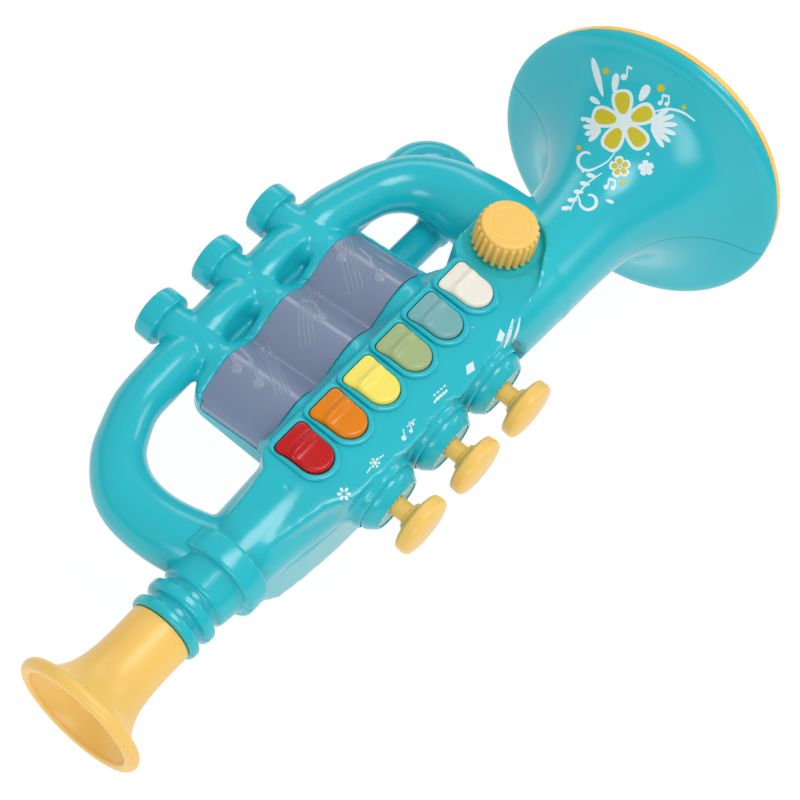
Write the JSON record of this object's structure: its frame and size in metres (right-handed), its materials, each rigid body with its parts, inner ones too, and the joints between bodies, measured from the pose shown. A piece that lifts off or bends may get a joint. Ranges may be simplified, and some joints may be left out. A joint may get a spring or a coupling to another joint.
{
  "type": "toy trumpet",
  "caption": "Battery toy trumpet with a loop handle, coloured sliding keys, piston buttons, a ribbed mode knob, a wavy light window and a flared bell.",
  "frame": {"origin": "under the middle of the horn, on the level of the lowest point of the bell rim", "axes": "+X from the mouthpiece to the bell, +Y from the piston buttons to the valve caps, +Z out of the key face"},
  "size_m": [0.3424, 0.165, 0.1306],
  "materials": {
    "teal": "glossy moulded teal plastic",
    "yellow": "satin moulded pale yellow plastic",
    "window": "translucent smoke blue plastic",
    "tray_white": "white reflector plastic",
    "silicone": "soft silicone",
    "board": "coated circuit board",
    "dark": "moulded black",
    "steel": "plated",
    "cell": "plain sleeve",
    "key_red": "glossy moulded plastic",
    "key_orange": "glossy moulded plastic",
    "key_yellow": "glossy moulded plastic",
    "key_green": "glossy moulded plastic",
    "key_slate": "glossy moulded plastic",
    "key_white": "glossy moulded plastic"
  },
  "bodies": {
    "horn": {"front_shell": "teal", "back_shell": "teal", "mouthpiece": "yellow", "bell_ring": "yellow", "window_cover": "window", "light_tray": "tray_white", "key_pad": "silicone", "main_board": "board", "rotary_switch": "dark", "piston_board": "board", "battery_door": "teal", "door_screw": "steel", "battery_1": "cell", "battery_2": "cell", "contact_plate_front": "steel", "contact_plate_rear": "steel", "speaker": "dark", "speaker_grille": "teal", "tuning_bow": "teal", "piston_collar_1": "teal", "piston_collar_2": "teal", "piston_collar_3": "teal"},
    "red key": {"key_red": "key_red"},
    "orange key": {"key_orange": "key_orange"},
    "yellow key": {"key_yellow": "key_yellow"},
    "green key": {"key_green": "key_green"},
    "slate key": {"key_slate": "key_slate"},
    "white key": {"key_white": "key_white"},
    "piston 1": {"piston_1": "yellow"},
    "piston 2": {"piston_2": "yellow"},
    "piston 3": {"piston_3": "yellow"},
    "knob": {"mode_knob": "yellow"}
  },
  "joints": [
    {"name": "red_key_press", "type": "slide", "parent": "horn", "child": "red key", "axis": [0, 0, -1], "range_m": [0, 0.0012], "stiffness_N_per_m": 700, "springref_m": -0.0006},
    {"name": "orange_key_press", "type": "slide", "parent": "horn", "child": "orange key", "axis": [0, 0, -1], "range_m": [0, 0.0012], "stiffness_N_per_m": 700, "springref_m": -0.0006},
    {"name": "yellow_key_press", "type": "slide", "parent": "horn", "child": "yellow key", "axis": [0, 0, -1], "range_m": [0, 0.0012], "stiffness_N_per_m": 700, "springref_m": -0.0006},
    {"name": "green_key_press", "type": "slide", "parent": "horn", "child": "green key", "axis": [0, 0, -1], "range_m": [0, 0.0012], "stiffness_N_per_m": 700, "springref_m": -0.0006},
    {"name": "slate_key_press", "type": "slide", "parent": "horn", "child": "slate key", "axis": [0, 0, -1], "range_m": [0, 0.0012], "stiffness_N_per_m": 700, "springref_m": -0.0006},
    {"name": "white_key_press", "type": "slide", "parent": "horn", "child": "white key", "axis": [0, 0, -1], "range_m": [0, 0.0012], "stiffness_N_per_m": 700, "springref_m": -0.0006},
    {"name": "piston_1_press", "type": "slide", "parent": "horn", "child": "piston 1", "axis": [0, 1, 0], "range_m": [0, 0.0055], "stiffness_N_per_m": 260, "springref_m": -0.003},
    {"name": "piston_2_press", "type": "slide", "parent": "horn", "child": "piston 2", "axis": [0, 1, 0], "range_m": [0, 0.0055], "stiffness_N_per_m": 260, "springref_m": -0.003},
    {"name": "piston_3_press", "type": "slide", "parent": "horn", "child": "piston 3", "axis": [0, 1, 0], "range_m": [0, 0.0055], "stiffness_N_per_m": 260, "springref_m": -0.003},
    {"name": "mode_knob_turn", "type": "hinge", "parent": "horn", "child": "knob", "pos_m": [0.07739, -0.00328, 0.0819], "axis": [0, 0, 1], "range_deg": [-60, 60]}
  ]
}
